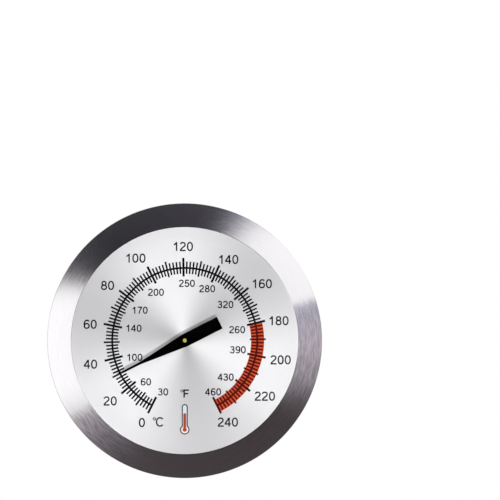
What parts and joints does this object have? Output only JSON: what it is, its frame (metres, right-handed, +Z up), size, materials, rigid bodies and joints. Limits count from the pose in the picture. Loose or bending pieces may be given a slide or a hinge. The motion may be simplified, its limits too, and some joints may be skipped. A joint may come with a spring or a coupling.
{
  "type": "oven thermometer",
  "caption": "Rear-stem bimetal dial thermometer for an oven wall: brushed round bezel, silver dual-scale dial, black pointer, probe tube and wing-nut clamp.",
  "frame": {"origin": "on the stem's axis, in the plane where the hex flange's rear face seats on the oven wall", "axes": "+Y along the stem, from the dial towards the probe tip; +Z up, towards 12 o'clock on the dial; the dial faces -Y"},
  "size_m": [0.076, 0.0901, 0.076],
  "materials": {
    "bezel_steel": "stainless, brushed in rings round the face",
    "case_steel": "drawn stainless, satin with fine drawing lines",
    "probe_steel": "stainless tube, ground, satin",
    "fitting_steel": "turned stainless with fine turning rings",
    "zinc_steel": "zinc-plated steel, satin",
    "brass": "turned brass, satin",
    "dial_silver": "silvered sheet, brushed, with a soft sunburst",
    "pointer_black": "matt black lacquer",
    "lens_glass": "clear polished glass",
    "gasket_rubber": "red silicone, moulded",
    "bimetal": "rolled bimetal strip, satin with a faint heat tint"
  },
  "bodies": {
    "stem": {"threaded_bush": "fitting_steel", "front_bearing": "brass", "stem_guide": "brass", "probe_tube": "probe_steel", "tip_plug": "probe_steel", "bimetal_coil": "bimetal", "friction_washer": "brass", "wave_washer": "zinc_steel", "retaining_nut": "zinc_steel"},
    "head": {"bezel_ring": "bezel_steel", "lens_gasket": "gasket_rubber", "front_lens": "lens_glass", "spacer_ring": "case_steel", "dial_plate": "dial_silver", "case_cup": "case_steel"},
    "pointer": {"pointer_blade": "pointer_black", "pointer_hub": "brass", "spindle": "fitting_steel", "coil_collar": "brass"},
    "washers": {"flat_washer": "zinc_steel", "lock_washer": "zinc_steel"},
    "wing_nut": {"wing_nut": "zinc_steel"}
  },
  "joints": [
    {"name": "head_calibration", "type": "hinge", "parent": "stem", "child": "head", "pos_m": [0, 0, 0], "axis": [0, 1, 0], "continuous": true},
    {"name": "pointer_sweep", "type": "hinge", "parent": "stem", "child": "pointer", "pos_m": [0, 0, 0], "axis": [0, 1, 0], "range_deg": [-36, 270.75], "stiffness_Nm_per_rad": 0.001, "deforming": ["bimetal_coil"]},
    {"name": "clamp_slide", "type": "slide", "parent": "stem", "child": "washers", "axis": [0, 1, 0], "range_m": [-0.006, 0.0039]},
    {"name": "nut_spin", "type": "hinge", "parent": "washers", "child": "wing_nut", "pos_m": [0, 0.014, 0], "axis": [0, 1, 0], "range_deg": [-1435, 930]}
  ],
  "couplings": [
    {"joint": "clamp_slide", "follows": "nut_spin", "m_per_rad": 0.00023873}
  ]
}
